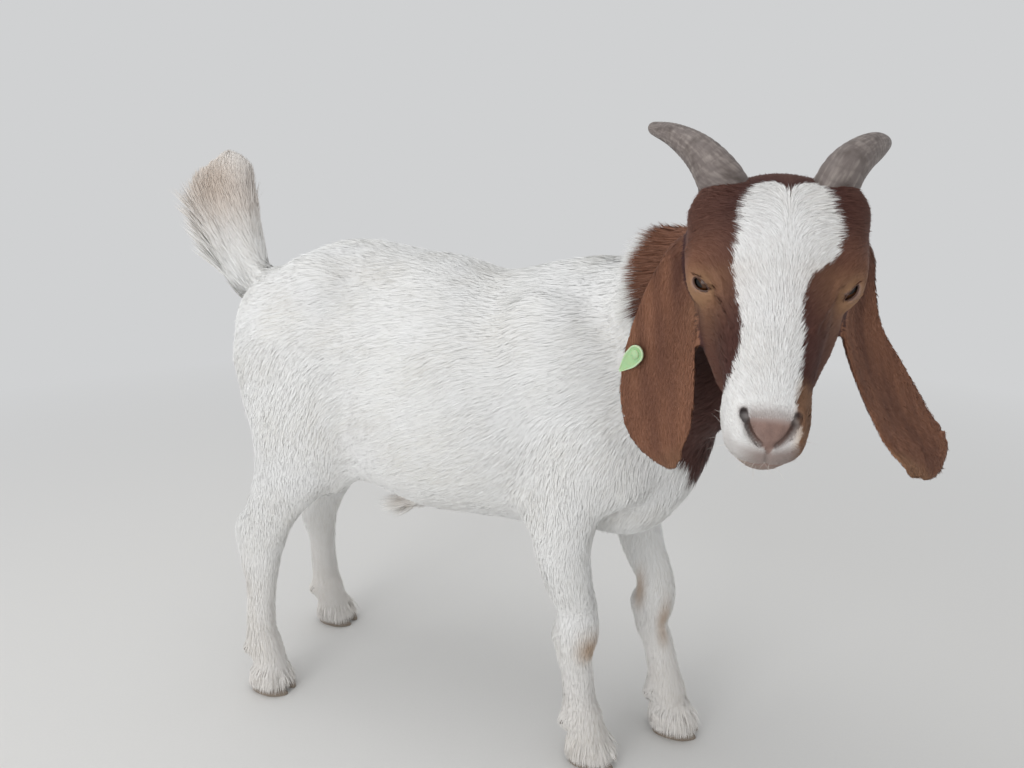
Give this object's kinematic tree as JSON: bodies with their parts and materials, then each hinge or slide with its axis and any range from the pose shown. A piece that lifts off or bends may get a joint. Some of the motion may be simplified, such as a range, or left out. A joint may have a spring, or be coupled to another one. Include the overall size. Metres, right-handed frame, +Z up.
{
  "type": "goat",
  "caption": "Young Boer goat buck as a still life-size model, standing with its head turned to its right, with horns, lop ears and a raised tail.",
  "frame": {"origin": "on the ground, under the middle of the whole animal's box", "axes": "+X along the trunk from tail to chest, +Y to the goat's left, +Z up; the head is turned towards -Y"},
  "size_m": [0.8826, 0.4138, 0.7146],
  "materials": {
    "coat_white": "short white goat hair with a faint cream tint",
    "coat_chestnut": "short chestnut goat hair, darker by the blaze, with a white blaze and muzzle",
    "horn": "grey ringed keratin, rough",
    "claw": "dark brown hoof horn, satin",
    "eye": "wet cornea over an amber brown iris with a level slit pupil",
    "ear_tag": "light green moulded polyurethane, bare of any print"
  },
  "bodies": {
    "root": {"head": "coat_chestnut", "neck": "coat_chestnut", "trunk": "coat_white", "tail": "coat_white", "ear_right": "coat_chestnut", "ear_left": "coat_chestnut", "horn_right": "horn", "horn_left": "horn", "eye_right": "eye", "eye_left": "eye", "ear_tag_plate": "ear_tag", "ear_tag_button": "ear_tag", "leg_hind_right_upper": "coat_white", "leg_hind_right_lower": "coat_white", "claw_hind_right_inner": "claw", "claw_hind_right_outer": "claw", "dewclaw_hind_right_inner": "claw", "dewclaw_hind_right_outer": "claw", "leg_front_right_upper": "coat_white", "leg_front_right_lower": "coat_white", "claw_front_right_inner": "claw", "claw_front_right_outer": "claw", "dewclaw_front_right_inner": "claw", "dewclaw_front_right_outer": "claw", "leg_hind_left_upper": "coat_white", "leg_hind_left_lower": "coat_white", "claw_hind_left_inner": "claw", "claw_hind_left_outer": "claw", "dewclaw_hind_left_inner": "claw", "dewclaw_hind_left_outer": "claw", "leg_front_left_upper": "coat_white", "leg_front_left_lower": "coat_white", "claw_front_left_inner": "claw", "claw_front_left_outer": "claw", "dewclaw_front_left_inner": "claw", "dewclaw_front_left_outer": "claw"}
  },
  "joints": []
}
